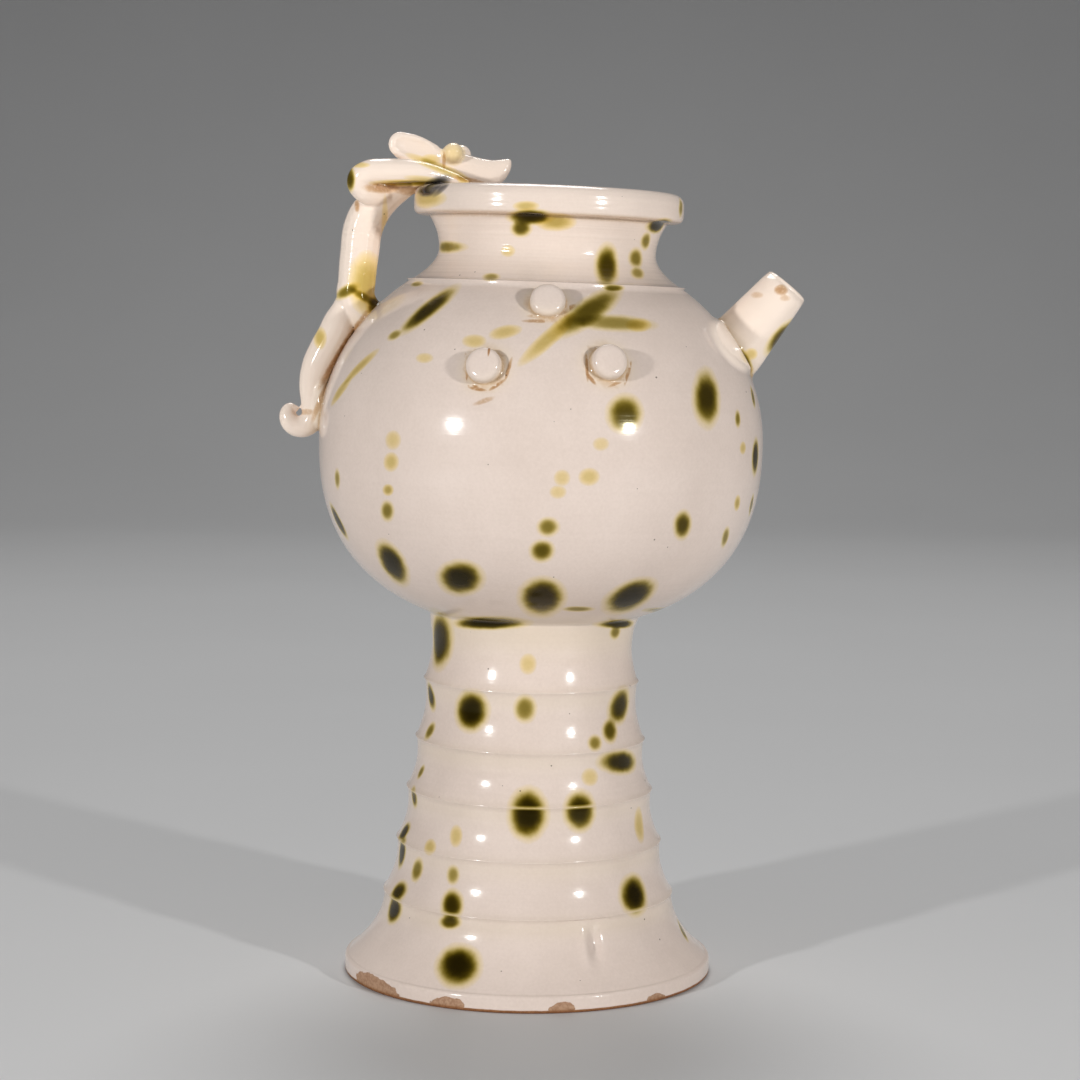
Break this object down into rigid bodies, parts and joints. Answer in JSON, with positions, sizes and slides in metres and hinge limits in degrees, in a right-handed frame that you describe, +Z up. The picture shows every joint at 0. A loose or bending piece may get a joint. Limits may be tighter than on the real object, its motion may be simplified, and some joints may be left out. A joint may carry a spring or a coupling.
{
  "type": "glazed ceramic ewer",
  "caption": "Footed round ewer with a flaring ringed stem, rolled lip, short spout, beast-shaped coil handle, shoulder bosses and green splashes on a cream-white glaze.",
  "frame": {"origin": "centre of the overall box, at the plane that the foot stands on", "axes": "+Z up, +X towards the spout, -Y the side with the bosses"},
  "size_m": [0.1984, 0.1684, 0.3184],
  "materials": {
    "splashed_glaze": "glossy cream-white lead glaze with olive-green splashes, bare pinkish clay at the worn foot rim"
  },
  "bodies": {
    "root": {"ewer": "splashed_glaze"}
  },
  "joints": []
}
